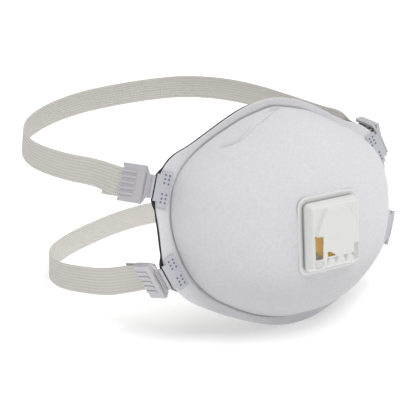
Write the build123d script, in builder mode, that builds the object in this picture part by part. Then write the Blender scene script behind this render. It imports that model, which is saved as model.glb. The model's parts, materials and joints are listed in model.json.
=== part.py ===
"""Valved moulded cup respirator with four buckles and two headbands. Millimetres.

Frame: the front of the cup faces -Y, the headbands run back towards +Y, +Z is up.
The cup stands on its chin flange and leans back by LEAN degrees.
"""

import math
import os

from build123d import *

os.makedirs("parts", exist_ok=True)

# ---------------------------------------------------------------- driving dimensions
OX, OY, OZ = 8.071, -66.620, 63.130  # middle of the face opening, in the part's frame
LEAN = 13.4  # lean of the face opening's plane, degrees
VALVE_LEAN = 5.3  # lean of the valve's front face, degrees
VALVE_OUT, VALVE_UP = 47.0, 0.6  # valve pad's centre in front of and above the opening's middle

# radius of the flange's edge and of the groove at the dome's foot, every 10 degrees
# from the nose (0) over the cheek (90) to the chin (180)
RIM_R = [61.3, 61.1, 60.9, 61.2, 63.0, 67.2, 75.0, 78.6, 78.0, 77.0, 78.0, 78.8,
         76.2, 71.5, 67.8, 65.8, 65.0, 64.9, 64.9]
FOOT_R = [57.2, 56.5, 56.6, 57.2, 59.2, 62.4, 66.0, 68.6, 69.0, 68.8, 68.2, 67.6,
          66.6, 64.6, 62.4, 61.2, 60.4, 59.8, 59.2]

DOME_TOP = 45.9  # height of the valve pad over the opening's plane
DOME_FULL = 48.5  # height at which the dome's profile would close
DOME_SHIFT = -10.3  # how far the pad sits towards the chin
PAD_W, PAD_H = 40.0, 43.0  # valve pad
T_WEB, T_FILTER, T_INNER = 0.8, 1.4, 0.8  # layers of the dome
F_WEB, F_FILTER, F_INNER = 0.7, 0.8, 0.7  # the same layers pressed flat in the flange
SEAL_T = 2.4  # face seal
PORT_R = 11.4  # hole for the valve

COVER_W, COVER_H = 34.3, 37.4  # valve cover at its foot
FRONT_W, FRONT_H = 29.7, 32.8  # at its front
COVER_D = 9.5  # depth of the cover
COVER_STEP = 7.4  # depth at the sunk top corners
COVER_WALL = 1.0
FLAP_W, FLAP_H, FLAP_T = 25.0, 26.0, 0.45
FLAP_N = 2.75  # flap's height over the pad

TAB_L, TAB_W = 19.8, 6.6  # welded tab
TAB_LIP = 2.7  # how far the tab reaches past its weld panel, to the hinge
HINGE_OUT = 3.9  # film hinge's axis past the weld panel's edge
HINGE_R = 0.8
HINGE_L = 12.6
HINGE_W = 1.6  # hinge axis over the opening's plane

BUCKLE_W, BUCKLE_END = 20.6, 19.6
BUCKLE_T = 1.8
PLATE_N, PLATE_T = 2.35, 0.7  # cover plate over the threaded strap
GRIP_RIBS = (-6.1, -3.05, 0.0, 3.05, 6.1)
STRAP_W, STRAP_T = 16.0, 0.9
STRAP_N = 1.75  # strap's middle from the buckle's middle plane

# ---------------------------------------------------------------- frames
SL, CL = math.sin(math.radians(LEAN)), math.cos(math.radians(LEAN))
SV, CV = math.sin(math.radians(VALVE_LEAN)), math.cos(math.radians(VALVE_LEAN))
MID = Vector(OX, OY, OZ)
RIM = Plane(origin=MID, x_dir=(1, 0, 0), z_dir=(0, -CL, SL))
VALVE = Plane(origin=MID + Vector(0, -VALVE_OUT, VALVE_UP), x_dir=(1, 0, 0), z_dir=(0, -CV, SV))


def polar(table, grow=0.0, scale=1.0, shift=0.0, sides=0.0):
    """Closed outline from a half table of radii, nose up."""
    pts = []
    for i in range(36):
        k = i if i <= 18 else 36 - i
        a = math.radians(10 * i)
        r = (table[k] + grow + sides * max(0.0, math.sin(math.radians(10 * k))) ** 4) * scale
        pts.append((r * math.sin(a), shift + r * math.cos(a)))
    return pts


def squared(w, h, n=4.0):
    """Closed rounded-square outline."""
    pts = []
    for i in range(36):
        a = math.radians(10 * i)
        s, c = math.sin(a), math.cos(a)
        r = (abs(2 * s / w) ** n + abs(2 * c / h) ** n) ** (-1 / n)
        pts.append((r * s, r * c))
    return pts


def plate(table, low, high, grow=0.0, sides=0.0):
    """Flat plate in the opening's plane, between two heights."""
    with BuildPart() as p:
        with BuildSketch(RIM.offset(low)):
            with BuildLine():
                Spline(*polar(table, grow, sides=sides), periodic=True)
            make_face()
        extrude(amount=high - low)
    return p.part


def dome(inset):
    """Solid bounded by the cup's surface, inset by a wall depth."""
    top = DOME_TOP - inset
    with BuildPart() as p:
        for share in (-0.022, 0.10, 0.26, 0.44, 0.62, 0.78):
            h = share * top
            rho = (1 - (max(h, 0.0) / (DOME_FULL - inset)) ** 2) ** (1 / 2.2)
            shift = DOME_SHIFT * (max(h, 0.0) / top) ** 1.3
            with BuildSketch(RIM.offset(h)):
                with BuildLine():
                    Spline(*polar(FOOT_R, -inset, rho, shift), periodic=True)
                make_face()
        with BuildSketch(VALVE.offset(-inset)):
            with BuildLine():
                Spline(*squared(PAD_W - 0.8 * inset, PAD_H - 0.8 * inset, 3.2), periodic=True)
            make_face()
        loft()
    return p.part


# nested skins, and the plates that the flange's layers are cut from
SKIN_0 = dome(0.0)
SKIN_1 = dome(T_WEB)
SKIN_2 = dome(T_WEB + T_FILTER)
SKIN_3 = dome(T_WEB + T_FILTER + T_INNER)
F1 = F_INNER
F2 = F_INNER + F_FILTER
F3 = F_INNER + F_FILTER + F_WEB
with BuildPart() as port_tool:
    with BuildSketch(VALVE.offset(-12)):
        Circle(PORT_R)
    extrude(amount=24)
with BuildPart() as clip_tool:  # strip that follows the flange over the nose
    with BuildSketch(RIM.offset(F1 + 0.15)):
        with BuildLine():
            Spline(*polar(RIM_R, -0.8), periodic=True)
        make_face()
        with BuildSketch(mode=Mode.PRIVATE) as hole:
            with BuildLine():
                Spline(*polar(RIM_R, -3.4), periodic=True)
            make_face()
        add(hole.sketch, mode=Mode.SUBTRACT)
        with BuildSketch(mode=Mode.PRIVATE) as band:
            with Locations((0, 70)):
                Rectangle(78, 56)
        add(band.sketch, mode=Mode.INTERSECT)
    extrude(amount=F2 - F1 - 0.15)

# ---------------------------------------------------------------- cup
with BuildPart() as outer_shell:  # moulded cover web with its flat flange
    add(SKIN_0)
    add(plate(RIM_R, -1.5, F3))
    add(SKIN_1, mode=Mode.SUBTRACT)
    add(plate(RIM_R, -2.5, F2, grow=2), mode=Mode.SUBTRACT)
    add(port_tool.part, mode=Mode.SUBTRACT)

with BuildPart() as filter_layer:  # electret web between the two shells
    add(SKIN_1)
    add(plate(RIM_R, -1.5, F2, grow=-0.1))
    add(SKIN_2, mode=Mode.SUBTRACT)
    add(plate(RIM_R, -2.5, F1, grow=2), mode=Mode.SUBTRACT)
    add(port_tool.part, mode=Mode.SUBTRACT)
    add(clip_tool.part, mode=Mode.SUBTRACT)

with BuildPart() as inner_shell:  # stiff shell next to the face
    add(SKIN_2)
    add(plate(RIM_R, -1.5, F1))
    add(SKIN_3, mode=Mode.SUBTRACT)
    add(plate(RIM_R, -2.5, 0.0, grow=2), mode=Mode.SUBTRACT)
    add(port_tool.part, mode=Mode.SUBTRACT)

with BuildPart() as face_seal:  # soft ring behind the flange, wider inside than the groove
    add(plate(RIM_R, -SEAL_T, 0.0, grow=-0.6, sides=1.9))
    add(plate(FOOT_R, -SEAL_T - 1, 1.0, grow=-7.0), mode=Mode.SUBTRACT)

with BuildPart() as nose_clip:  # soft metal strip, sealed in the flange over the nose
    add(clip_tool.part)

# ---------------------------------------------------------------- exhalation valve
with BuildPart() as valve_seat:
    with BuildSketch(VALVE):
        RectangleRounded(COVER_W - 2 * COVER_WALL - 0.2, COVER_H - 2 * COVER_WALL - 0.2, 2.0)
    extrude(amount=1.5)
    with BuildSketch(VALVE.offset(1.5)):  # raised sealing edge
        with Locations((0, -1.0)):
            RectangleRounded(22.6, 23.0, 3.0)
    extrude(amount=0.8)
    with BuildSketch(VALVE.offset(-6)):  # spigot through the layers
        Circle(PORT_R - 0.2)
    extrude(amount=6)
    with BuildSketch(VALVE.offset(-5.0)):  # inner retaining lip
        Circle(PORT_R + 2.6)
    extrude(amount=1.2)
    with BuildSketch(VALVE.offset(-7)):
        Circle(PORT_R - 1.4)
    extrude(amount=7.5, mode=Mode.SUBTRACT)
    with BuildSketch(VALVE):  # air passage with its cross bars
        with Locations((0, -1.0)):
            RectangleRounded(19.6, 20.0, 2.0)
            Rectangle(1.2, 21, mode=Mode.SUBTRACT)
            Rectangle(21, 1.2, mode=Mode.SUBTRACT)
    extrude(amount=4, mode=Mode.SUBTRACT)
    with BuildSketch(VALVE.offset(1.5)):  # ledge that holds the flap's top edge
        with Locations((0, 14.0)):
            Rectangle(20.0, 1.6)
    extrude(amount=2.6)

with BuildPart() as valve_diaphragm:
    with BuildSketch(VALVE.offset(FLAP_N - FLAP_T / 2)):
        with Locations((0, 12.6 - FLAP_H / 2)):
            RectangleRounded(FLAP_W, FLAP_H, 1.5)
    extrude(amount=FLAP_T)
    with BuildSketch(Plane(origin=VALVE.from_local_coords((-FLAP_W / 2 + 1.6, 12.2, FLAP_N)),
                           x_dir=VALVE.y_dir, z_dir=(1, 0, 0))):  # rolled top edge
        Circle(0.4)
    extrude(amount=FLAP_W - 3.2)

ARCH = [(-5.6, 15.6), (5.6, 15.6), (7.6, 13.4), (10.9, 7.4), (12.8, 2.6), (13.9, -2.0),
        (13.9, -15.0), (-13.9, -15.0), (-13.9, -2.0), (-12.8, 2.6), (-10.9, 7.4), (-7.6, 13.4)]
with BuildPart() as valve_cover:
    with BuildSketch(VALVE.offset(0.1)):
        RectangleRounded(COVER_W, COVER_H, 3.0)
    with BuildSketch(VALVE.offset(3.4)):
        RectangleRounded(COVER_W - 0.4, COVER_H - 0.4, 3.0)
    loft()
    with BuildSketch(VALVE.offset(3.4)):
        RectangleRounded(COVER_W - 0.4, COVER_H - 0.4, 3.0)
    with BuildSketch(VALVE.offset(COVER_STEP)):
        RectangleRounded(FRONT_W, FRONT_H, 2.4)
    loft()
    with BuildSketch(VALVE.offset(COVER_STEP - 0.5)):  # arched front panel
        with BuildLine():
            Polyline(*ARCH, close=True)
        make_face()
    extrude(amount=COVER_D - COVER_STEP + 0.5, taper=14)
    with BuildSketch(VALVE.offset(-0.5)):  # hollow
        RectangleRounded(COVER_W - 2 * COVER_WALL, COVER_H - 2 * COVER_WALL, 2.0)
    extrude(amount=3.7, mode=Mode.SUBTRACT)
    with BuildSketch(VALVE.offset(3.2)):
        RectangleRounded(COVER_W - 2 * COVER_WALL, COVER_H - 2 * COVER_WALL, 2.0)
    with BuildSketch(VALVE.offset(COVER_STEP - 1.0)):
        RectangleRounded(FRONT_W - 1.8, FRONT_H - 1.8, 1.6)
    loft(mode=Mode.SUBTRACT)
    with BuildSketch(VALVE.offset(COVER_STEP - 1.2)):
        with BuildLine():
            Polyline(*[(x * 0.9, y * 0.9) for x, y in ARCH], close=True)
        make_face()
    extrude(amount=COVER_D - COVER_STEP + 0.2, taper=14, mode=Mode.SUBTRACT)
    with BuildSketch(VALVE.offset(4.4)):  # side windows and the low ones beside the centre bars
        with Locations((-11.5, -5.6), (11.5, -5.6)):
            Rectangle(4.4, 13.6)
        with Locations((-4.6, -10.6), (4.6, -10.6)):
            Rectangle(4.4, 3.6)
    extrude(amount=8, mode=Mode.SUBTRACT)
    with BuildSketch(Plane(origin=VALVE.from_local_coords((0, -COVER_H / 2 - 2, 4.6)),
                           x_dir=(1, 0, 0), z_dir=VALVE.y_dir)):  # way out at the bottom
        with Locations((-11.4, 0), (-3.8, 0), (3.8, 0), (11.4, 0)):
            Rectangle(5.6, 4.4)
    extrude(amount=5.4, mode=Mode.SUBTRACT)


# ---------------------------------------------------------------- tabs, buckles, strap ends
def frames(edge_mid, along, run, side=-1, skew=0.0):
    """Tab frame and buckle frame of one corner; side is -1 on the left, 1 on the right.

    edge_mid: middle of the weld panel's outer edge, in the opening's plane
    along: the edge's upward direction in that plane; run: direction the buckle points
    skew: how far the soft buckle is pulled askew on its film hinge, degrees
    """
    a2 = Vector(*along, 0).normalized()
    out2 = Vector(a2.Y, -a2.X, 0) * side
    ax = (RIM.x_dir * a2.X + RIM.y_dir * a2.Y).normalized()
    out = (RIM.x_dir * out2.X + RIM.y_dir * out2.Y).normalized()
    mid = RIM.from_local_coords((edge_mid[0], edge_mid[1], 0))
    tab = Plane(origin=mid, x_dir=out, z_dir=RIM.z_dir)
    d = Vector(*run)
    d = (d - ax * d.dot(ax)).normalized()
    hinge = mid + out * HINGE_OUT + RIM.z_dir * HINGE_W
    face = d.cross(ax) * side
    k, m = math.cos(math.radians(skew)), math.sin(math.radians(skew))
    buckle = Plane(origin=hinge, x_dir=d * k + ax * m, z_dir=face)
    film = Plane(origin=hinge, x_dir=d, z_dir=face)
    return tab, buckle, ax, hinge, ax * k - d * m, film


# each buckle points where its headband pulls it
UPPER_L = frames((-74.0, 23.85), (0.354, 0.935), (-0.451, 0.893, 0.0))
UPPER_R = frames((74.0, 23.85), (-0.354, 0.935), (-0.031, 0.97, -0.243), side=1, skew=22)
LOWER_L = frames((-73.45, -23.8), (-0.385, 0.923), (-0.144, 0.949, -0.287))
LOWER_R = frames((73.45, -23.8), (0.385, 0.923), (0.144, 0.949, -0.287), side=1)


def make_tab(fr, name):
    tab, ax = fr[0], fr[2]
    side = 1 if tab.y_dir.dot(ax) > 0 else -1
    with BuildPart() as p:
        with BuildSketch(tab.offset(F3)):
            with Locations((-TAB_W / 2, 0)):
                RectangleRounded(TAB_W, TAB_L, 0.8)
        extrude(amount=0.7)
        with BuildSketch(tab.offset(F3)):
            with Locations((TAB_LIP / 2 - 0.5, 0)):
                Rectangle(TAB_LIP + 1.0, HINGE_L + 2.0)
        extrude(amount=0.7)
        with Locations(*[tab * Pos(-TAB_W / 2 + dx, side * dy, F3 + 0.7)
                         for dx in (-1.25, 1.25) for dy in (7.4, 5.2, 3.0, -3.0, -5.2, -7.4)]):
            Cylinder(0.55, 0.5, mode=Mode.SUBTRACT)  # weld points
    p.part.label = name
    return p.part


def make_buckle(fr, name):
    buckle, ax, hinge, film = fr[1], fr[2], fr[3], fr[5]
    hw = BUCKLE_W / 2
    reach = 2.3 if film.x_dir.dot(buckle.x_dir) > 0.999 else 3.1
    with BuildPart() as p:
        with BuildSketch(buckle.offset(-BUCKLE_T / 2)):
            with BuildLine():
                Polyline((1.6, -HINGE_L / 2), (3.2, -HINGE_L / 2), (5.0, -hw + 1.2), (6.2, -hw),
                         (BUCKLE_END, -hw), (BUCKLE_END, hw), (6.2, hw), (5.0, hw - 1.2),
                         (3.2, HINGE_L / 2), (1.6, HINGE_L / 2), close=True)
            make_face()
            with Locations((7.45, 0)):
                Rectangle(3.9, STRAP_W + 1.2, mode=Mode.SUBTRACT)
            with Locations((14.25, 0)):
                Rectangle(3.9, STRAP_W + 1.2, mode=Mode.SUBTRACT)
            with Locations((BUCKLE_END, 0)):  # side horns reach past the end bar
                Rectangle(4.0, 2 * hw - 4.2, mode=Mode.SUBTRACT)
        extrude(amount=BUCKLE_T)
        with BuildSketch(film.offset(-0.25)):  # film
            with Locations((0.3 + reach / 2, 0)):
                Rectangle(reach, HINGE_L)
        extrude(amount=0.5)
        with BuildSketch(Plane(origin=hinge - ax * (HINGE_L / 2), x_dir=buckle.x_dir, z_dir=ax)):
            Circle(HINGE_R)
        extrude(amount=HINGE_L)
        with BuildSketch(buckle.offset(BUCKLE_T / 2)):  # walls that carry the cover plate
            with Locations((11.7, hw - 0.75), (11.7, 0.75 - hw)):
                Rectangle(14.6, 1.5)
            with Locations((17.0, 0), (4.9, 0)):
                Rectangle(1.2, 2 * hw - 1.5)
        extrude(amount=1.5)
        with BuildSketch(buckle.offset(PLATE_N)):  # plate over the threaded strap
            with Locations((11.0, 0)):
                Rectangle(13.2, 2 * hw)
        extrude(amount=PLATE_T)
        with BuildSketch(buckle.offset(-BUCKLE_T / 2)):  # scalloped end
            with Locations(*[(17.4, y) for y in GRIP_RIBS]):
                Circle(1.15)
        extrude(amount=PLATE_N + PLATE_T + BUCKLE_T / 2)
        with BuildSketch(buckle.offset(PLATE_N + PLATE_T)):  # grip ribs
            with Locations(*[(13.4, y) for y in GRIP_RIBS]):
                Rectangle(9.0, 1.3)
        extrude(amount=0.45)
        with BuildSketch(buckle.offset(BUCKLE_T / 2)):  # ridge beside the film
            with Locations((3.0, 0)):
                Rectangle(0.9, HINGE_L)
        extrude(amount=0.7)
    p.part.label = name
    return p.part


TAIL = 35.0  # the free end's reach back from the hinge
LOOP_FROM = 22.5  # where the loop leaves the buckle


def strap_end(fr, drop):
    """Threaded end: in from behind, out over the middle bar, and back as a free end."""
    buckle, ax = fr[1], fr[4]
    n = STRAP_N
    far = n + STRAP_T + 0.7
    path = [(LOOP_FROM, -n), (15.7, -n), (14.7, -n + 0.4), (14.0, -0.6), (13.6, 0.9), (12.8, n),
            (8.8, n), (7.9, 0.9), (7.5, -0.6), (7.4, -far + 1.0), (8.2, -far), (20.0, -far), (TAIL, -far - drop)]
    sect = Plane(origin=buckle.origin - ax * (STRAP_W / 2), x_dir=buckle.x_dir, z_dir=ax)
    flip = 1 if sect.y_dir.dot(buckle.z_dir) > 0 else -1
    with BuildPart() as p:
        with BuildSketch(sect):
            with BuildLine() as line:
                Polyline(*[(x, flip * y) for x, y in path])
            trace(line_width=STRAP_T)
        extrude(amount=STRAP_W)
    return p.part


tab_upper_left = make_tab(UPPER_L, "tab_upper_left")
tab_lower_left = make_tab(LOWER_L, "tab_lower_left")
tab_upper_right = make_tab(UPPER_R, "tab_upper_right")
tab_lower_right = make_tab(LOWER_R, "tab_lower_right")
buckle_upper_left = make_buckle(UPPER_L, "buckle_upper_left")
buckle_lower_left = make_buckle(LOWER_L, "buckle_lower_left")
buckle_upper_right = make_buckle(UPPER_R, "buckle_upper_right")
buckle_lower_right = make_buckle(LOWER_R, "buckle_lower_right")

# ---------------------------------------------------------------- headbands
# middle line of each loop about the opening's middle, and the width's lean
# (top towards the front) in radians, from the left buckle to the right one
UPPER_LOOP = [(-91.5, 45, 23.8, 0.05), (-98, 62, 23.2, 0.02), (-103.5, 82, 23.0, 0.04), (-105, 100, 23.2, 0.08),
              (-100, 122, 23.8, 0.11), (-86, 145, 24.4, 0.15), (-62, 166, 24.9, 0.18),
              (-34, 180, 25.2, 0.19), (-5, 186, 25.3, 0.19), (23, 187, 25.3, 0.19),
              (44, 183, 25.3, 0.18), (60, 171, 25.2, 0.16), (70.5, 152, 25.2, 0.13),
              (75.5, 129, 25.3, 0.1), (77, 105, 25.5, 0.08), (77, 83, 25.9, 0.05),
              (76.2, 62, 26.6, 0.02), (75.6, 44, 27.6, 0.0)]
LOWER_LOOP = [(-92, 32, -36.2, 0.0), (-99, 50, -39.8, 0.0), (-101.5, 68, -43.6, 0.0),
              (-99, 88, -48.2, 0.0), (-92.5, 108, -52.2, 0.03), (-82, 126, -54.6, 0.06),
              (-64, 140, -55.0, 0.1), (-42, 151, -55.0, 0.12), (-18, 160, -55.0, 0.13),
              (4, 164, -55.0, 0.13), (27, 162, -55.0, 0.13), (49, 152, -55.0, 0.11),
              (67, 135, -54.6, 0.08), (79, 112, -52.4, 0.05), (86, 88, -48.6, 0.02),
              (89, 64, -43.8, 0.0), (89, 42, -38.6, 0.0)]


def headband(fr_left, fr_right, loop, drops, name):
    def leaves(fr):  # a little inside the threaded end, so the two make one solid
        return fr[1].origin + fr[1].x_dir * (LOOP_FROM - 0.6) - fr[1].z_dir * STRAP_N

    pts = [leaves(fr_left)] + [MID + Vector(x, y, z) for x, y, z, _ in loop] + [leaves(fr_right)]
    rows = [(pts[0], fr_left[4], fr_left[1].x_dir)]
    for i in range(1, len(pts) - 1):
        t = (pts[i + 1] - pts[i - 1]).normalized()
        lean = loop[i - 1][3]
        inward = Vector(0, 0, 1).cross(t)
        if inward.dot(MID + Vector(-10, 80, 0) - pts[i]) < 0:
            inward = -inward
        b = Vector(0, 0, 1) * math.cos(lean) + inward.normalized() * math.sin(lean)
        rows.append((pts[i], (b - t * b.dot(t)).normalized(), t))
    rows.append((pts[-1], fr_right[4], -fr_right[1].x_dir))
    with BuildPart() as p:
        for at, b, t in rows:
            with BuildSketch(Plane(origin=at, x_dir=b, z_dir=t)):
                Rectangle(STRAP_W - 0.04, STRAP_T - 0.04)
        loft()
        add(strap_end(fr_left, drops[0]))
        add(strap_end(fr_right, drops[1]))
    p.part.label = name
    return p.part


upper_headband = headband(UPPER_L, UPPER_R, UPPER_LOOP, (2.6, 0.2), "upper_headband")
lower_headband = headband(LOWER_L, LOWER_R, LOWER_LOOP, (0.2, 0.2), "lower_headband")

# ---------------------------------------------------------------- export
for name, built in (
    ("outer_shell", outer_shell), ("filter_layer", filter_layer), ("inner_shell", inner_shell),
    ("face_seal", face_seal), ("nose_clip", nose_clip), ("valve_seat", valve_seat),
    ("valve_diaphragm", valve_diaphragm), ("valve_cover", valve_cover),
):
    built.part.label = name
    export_step(built.part, "parts/%s.step" % name)
for solid in (
    tab_upper_left, tab_upper_right, tab_lower_left, tab_lower_right,
    buckle_upper_left, buckle_upper_right, buckle_lower_left, buckle_lower_right,
    upper_headband, lower_headband,
):
    export_step(solid, "parts/%s.step" % solid.label)
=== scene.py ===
"""Looks for the valved cup respirator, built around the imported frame. Metres."""
import json
import math

import bmesh
import bpy
import numpy as np
from mathutils import Matrix, Vector


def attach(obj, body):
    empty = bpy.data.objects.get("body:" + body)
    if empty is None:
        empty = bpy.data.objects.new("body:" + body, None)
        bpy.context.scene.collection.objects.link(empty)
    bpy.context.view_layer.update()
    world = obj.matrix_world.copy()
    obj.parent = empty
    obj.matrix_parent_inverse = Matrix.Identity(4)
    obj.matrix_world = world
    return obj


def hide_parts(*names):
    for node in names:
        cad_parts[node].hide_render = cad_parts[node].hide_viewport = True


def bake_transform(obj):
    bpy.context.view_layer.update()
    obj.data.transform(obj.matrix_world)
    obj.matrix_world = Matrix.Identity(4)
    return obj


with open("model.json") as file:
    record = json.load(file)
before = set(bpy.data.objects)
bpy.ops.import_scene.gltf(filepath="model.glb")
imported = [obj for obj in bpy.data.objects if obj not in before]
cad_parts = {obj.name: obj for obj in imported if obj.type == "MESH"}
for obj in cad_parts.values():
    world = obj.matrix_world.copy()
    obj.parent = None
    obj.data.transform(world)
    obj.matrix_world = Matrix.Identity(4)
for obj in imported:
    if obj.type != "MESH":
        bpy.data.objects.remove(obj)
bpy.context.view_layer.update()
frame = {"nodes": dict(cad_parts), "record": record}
REC = frame["record"]
MM = 0.001

MOUNTS = {m["name"]: m for m in REC["mounts"]}
MID = np.array(MOUNTS["face_opening"]["pos_m"], float)
LEAN = math.radians(13.4)
VLEAN = math.radians(5.3)
SL, CL = math.sin(LEAN), math.cos(LEAN)
SV, CV = math.sin(VLEAN), math.cos(VLEAN)
X = np.array([1.0, 0, 0])
RV = np.array([0.0, SL, CL])  # up the face opening's plane
RN = np.array([0.0, -CL, SL])  # forward out of it
VV = np.array([0.0, SV, CV])
VN = np.array([0.0, -CV, SV])
VALVE_O = MID + np.array([0, -47.0, 0.6]) * MM


def rim_pt(u, v, w):
    """Millimetres in the opening's plane to metres in the part's frame."""
    u, v, w = (np.asarray(a, float)[..., None] for a in (u, v, w))
    return MID + (u * X + v * RV + w * RN) * MM


def valve_pt(u, v, n):
    u, v, n = (np.asarray(a, float)[..., None] for a in (u, v, n))
    return VALVE_O + (u * X + v * VV + n * VN) * MM


def to_rim(p):
    q = (np.asarray(p, float) - MID) / MM
    return q @ X, q @ RV, q @ RN


# ------------------------------------------------------------------ mesh helpers
def new_mesh(name, verts, faces, smooth=True, uvs=None):
    me = bpy.data.meshes.new(name)
    me.from_pydata([tuple(v) for v in np.asarray(verts, float).tolist()], [], faces)
    me.update()
    if smooth:
        me.polygons.foreach_set("use_smooth", [True] * len(me.polygons))
    if uvs is not None:
        layer = me.uv_layers.new(name="UVMap")
        loops = np.zeros(len(me.loops), np.int32)
        me.loops.foreach_get("vertex_index", loops)
        layer.data.foreach_set("uv", np.asarray(uvs, np.float32)[loops].ravel())
    ob = bpy.data.objects.new(name, me)
    bpy.context.scene.collection.objects.link(ob)
    return ob


def grid_faces(rows, cols, closed_cols=True, closed_rows=False, base=0, flip=False):
    faces = []
    for i in range(rows if closed_rows else rows - 1):
        a, b = base + i * cols, base + ((i + 1) % rows) * cols
        for j in range(cols if closed_cols else cols - 1):
            k = (j + 1) % cols
            f = (a + j, a + k, b + k, b + j)
            faces.append(f[::-1] if flip else f)
    return faces


def paint(ob, tone):
    """Stores painted shade for each point: how far it sits in a fold or groove or is turned from the light, 1 is
    unshaded.
    """
    at = ob.data.color_attributes.new("painted_shade", "FLOAT_COLOR", "POINT")
    col = np.ones((len(tone), 4), np.float32)
    col[:, :3] = np.asarray(tone, np.float32)[:, None]
    at.data.foreach_set("color", col.ravel())


def catmull(pts, n):
    """Points along a centripetal Catmull-Rom curve through pts, n per span."""
    p = np.asarray(pts, float)
    p = np.vstack([2 * p[0] - p[1], p, 2 * p[-1] - p[-2]])
    out = []
    for i in range(1, len(p) - 2):
        p0, p1, p2, p3 = p[i - 1 : i + 3]
        t0 = 0.0
        t1 = t0 + max(np.linalg.norm(p1[:3] - p0[:3]), 1e-9) ** 0.5
        t2 = t1 + max(np.linalg.norm(p2[:3] - p1[:3]), 1e-9) ** 0.5
        t3 = t2 + max(np.linalg.norm(p3[:3] - p2[:3]), 1e-9) ** 0.5
        for k in range(n if i < len(p) - 3 else n + 1):
            t = t1 + (t2 - t1) * k / n
            a1 = (t1 - t) / (t1 - t0) * p0 + (t - t0) / (t1 - t0) * p1
            a2 = (t2 - t) / (t2 - t1) * p1 + (t - t1) / (t2 - t1) * p2
            a3 = (t3 - t) / (t3 - t2) * p2 + (t - t2) / (t3 - t2) * p3
            b1 = (t2 - t) / (t2 - t0) * a1 + (t - t0) / (t2 - t0) * a2
            b2 = (t3 - t) / (t3 - t1) * a2 + (t - t1) / (t3 - t1) * a3
            out.append((t2 - t) / (t2 - t1) * b1 + (t - t1) / (t2 - t1) * b2)
    return np.array(out)


def smoothstep(a, b, x):
    t = np.clip((x - a) / (b - a), 0, 1)
    return t * t * (3 - 2 * t)


# ------------------------------------------------------------------ cup outline tables
RIM_R = np.array([61.3, 61.1, 60.9, 61.2, 63.0, 67.2, 75.0, 78.6, 78.0, 77.0, 78.0, 78.8,
                  76.2, 71.5, 67.8, 65.8, 65.0, 64.9, 64.9])
FOOT_R = np.array([57.2, 56.5, 56.6, 57.2, 59.2, 62.4, 66.0, 68.6, 69.0, 68.8, 68.2, 67.6,
                   66.6, 64.6, 62.4, 61.2, 60.4, 59.8, 59.2])
# how far the opening's edge bows forward of its plane
BOW = np.array([3.6, 3.3, 2.6, 1.6, 0.8, 0.2, 0.0, 0.0, -0.3, -0.5, -0.3, 0.0,
                0.6, 1.6, 2.6, 3.4, 3.9, 4.2, 4.3])


def periodic(table, theta):
    """Smooth periodic table lookup; theta in radians, 0 at the nose."""
    full = np.concatenate([table, table[-2:0:-1]])  # 36 values
    n = len(full)
    x = (np.degrees(theta) % 360) / 10.0
    i = np.floor(x).astype(int)
    t = x - i
    p = [full[(i + k) % n] for k in (-1, 0, 1, 2)]
    return p[1] + 0.5 * t * (p[2] - p[0] + t * (2 * p[0] - 5 * p[1] + 4 * p[2] - p[3] + t * (3 * (p[1] - p[2]) + p[3] - p[0])))


def signed(theta):
    return (np.degrees(theta) + 180) % 360 - 180


def rim_r(theta):
    t = signed(theta)
    r = periodic(RIM_R, theta) - 1.7 * np.exp(-(((t - 53) / 14) ** 2))
    return r - 0.7 * np.exp(-(((np.abs(t) - 91) / 9) ** 4))


def foot_r(theta):
    t = signed(theta)
    return periodic(FOOT_R, theta) - 1.2 * np.exp(-(((t - 52) / 17) ** 2)) + 0.8 * np.exp(-(((t + 75) / 22) ** 2))


def theta_samples():
    near = np.arange(-58, 58, 0.33)
    far = np.arange(58, 302, 1.0)
    return np.radians(np.concatenate([near, far]))


def superellipse(w, h, n, theta):
    s, c = np.sin(theta), np.cos(theta)
    r = (np.abs(2 * s / w) ** n + np.abs(2 * c / h) ** n) ** (-1 / n)
    return r * s, r * c


F3 = 2.2  # flange's front face over the opening's plane
DOME_TOP, DOME_FULL = 45.9, 48.5
PORT_R = 11.4


def base_grid(th):
    """Smooth front surface of the cup as rings of points in opening-plane millimetres."""
    rr, fr, bow = rim_r(th), foot_r(th), periodic(BOW, th)
    s, c = np.sin(th), np.cos(th)
    rings, kind = [], []
    for k in np.linspace(0, 1, 13)[:-1]:  # flange, from the edge in
        r = rr + (fr - rr) * k
        rings.append(np.stack([r * s, r * c, bow + F3], 1))
        kind.append(("flange", k))
    # dome
    pu, pv = superellipse(40.0, 43.0, 3.2, th)
    pad = valve_pt(pu, pv, np.zeros_like(pu))
    qu, qv, qw = to_rim(pad)
    a1 = math.asin(DOME_TOP / DOME_FULL)
    n = 130
    for k in range(n + 1):
        a = a1 * (k / n) ** 1.0
        rho = math.cos(a) ** (2 / 2.2)
        f = (1 - rho) / (1 - math.cos(a1) ** (2 / 2.2))
        g = math.sin(a) / math.sin(a1)
        fu, fv = fr * s, fr * c
        rings.append(np.stack([fu + (qu - fu) * f, fv + (qv - fv) * f, (bow + F3 - 0.2) * (1 - g) + qw * g], 1))
        kind.append(("dome", k / n))
    m = 16
    for k in range(1, m + 1):
        f = k / m
        u = pu + (PORT_R * s - pu) * f
        v = pv + (PORT_R * c - pv) * f
        uu, vv, ww = to_rim(valve_pt(u, v, np.zeros_like(u)))
        rings.append(np.stack([uu, vv, ww], 1))
        kind.append(("pad", f))
    return np.array(rings), kind


def grid_normals(P):
    """Outward normals of a closed-column grid of points."""
    du = np.roll(P, -1, 1) - np.roll(P, 1, 1)
    dv = np.empty_like(P)
    dv[1:-1] = P[2:] - P[:-2]
    dv[0], dv[-1] = P[1] - P[0], P[-1] - P[-2]
    n = np.cross(dv, du)
    n /= np.maximum(np.linalg.norm(n, axis=2, keepdims=True), 1e-12)
    if n[len(P) // 2, 0] @ np.array([0, 0, 1.0]) < 0:
        n = -n
    return n


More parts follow.
